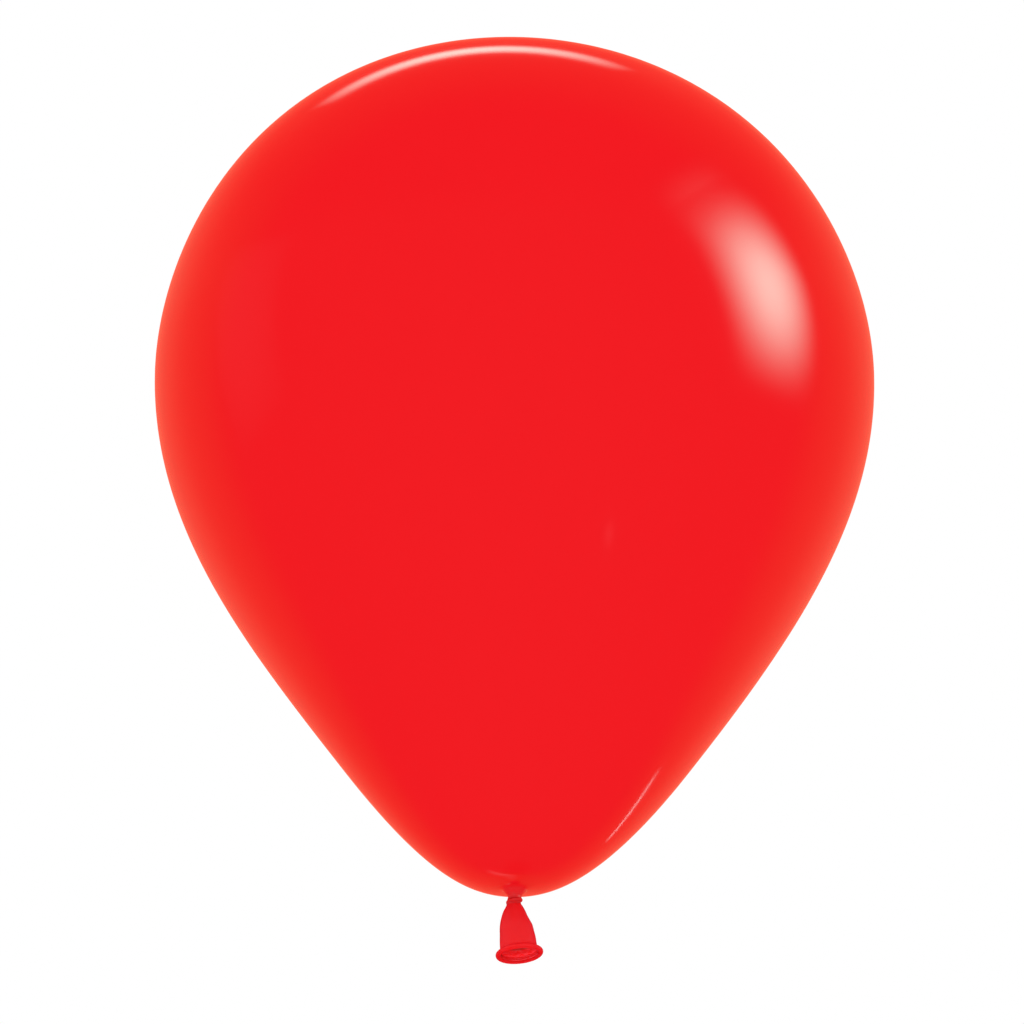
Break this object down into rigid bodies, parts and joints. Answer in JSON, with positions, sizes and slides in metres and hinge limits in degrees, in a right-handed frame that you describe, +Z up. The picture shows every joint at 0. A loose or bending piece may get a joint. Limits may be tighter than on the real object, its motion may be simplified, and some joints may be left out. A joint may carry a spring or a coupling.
{
  "type": "latex balloon",
  "caption": "Inflated, knotted latex party balloon: thin pear-shaped envelope, thick neck, wrapped knot, and an open flared tail with a rolled lip.",
  "frame": {"origin": "the waist of the neck just above the knot, on the balloon's axis, where a ribbon is tied", "axes": "+Z up from the waist to the crown, -Y towards the front, +X towards the side that the tail leans to"},
  "size_m": [0.3, 0.3, 0.3942],
  "materials": {
    "film": "gloss",
    "neck_latex": "satin",
    "knot_latex": "satin",
    "tail_latex": "satin"
  },
  "bodies": {
    "balloon_body": {"envelope": "film"},
    "neck_body": {"neck": "neck_latex"},
    "knot_body": {"knot_core": "knot_latex", "knot_wrap": "knot_latex"},
    "tail_body": {"tail": "tail_latex", "rolled_lip": "tail_latex"}
  },
  "joints": [
    {"name": "neck_tilt", "type": "hinge", "parent": "balloon_body", "child": "neck_body", "pos_m": [0, 0, 0.0043], "axis": [0, 1, 0], "range_deg": [-35, 35], "stiffness_Nm_per_rad": 0.001},
    {"name": "knot_twist", "type": "hinge", "parent": "neck_body", "child": "knot_body", "pos_m": [0, 0, 0], "axis": [0, 0, 1], "range_deg": [-90, 90], "stiffness_Nm_per_rad": 0.0005},
    {"name": "tail_bend", "type": "hinge", "parent": "knot_body", "child": "tail_body", "pos_m": [0.00003, -0.00026, -0.00762], "axis": [1, 0, 0], "range_deg": [-60, 60], "stiffness_Nm_per_rad": 0.0008}
  ]
}
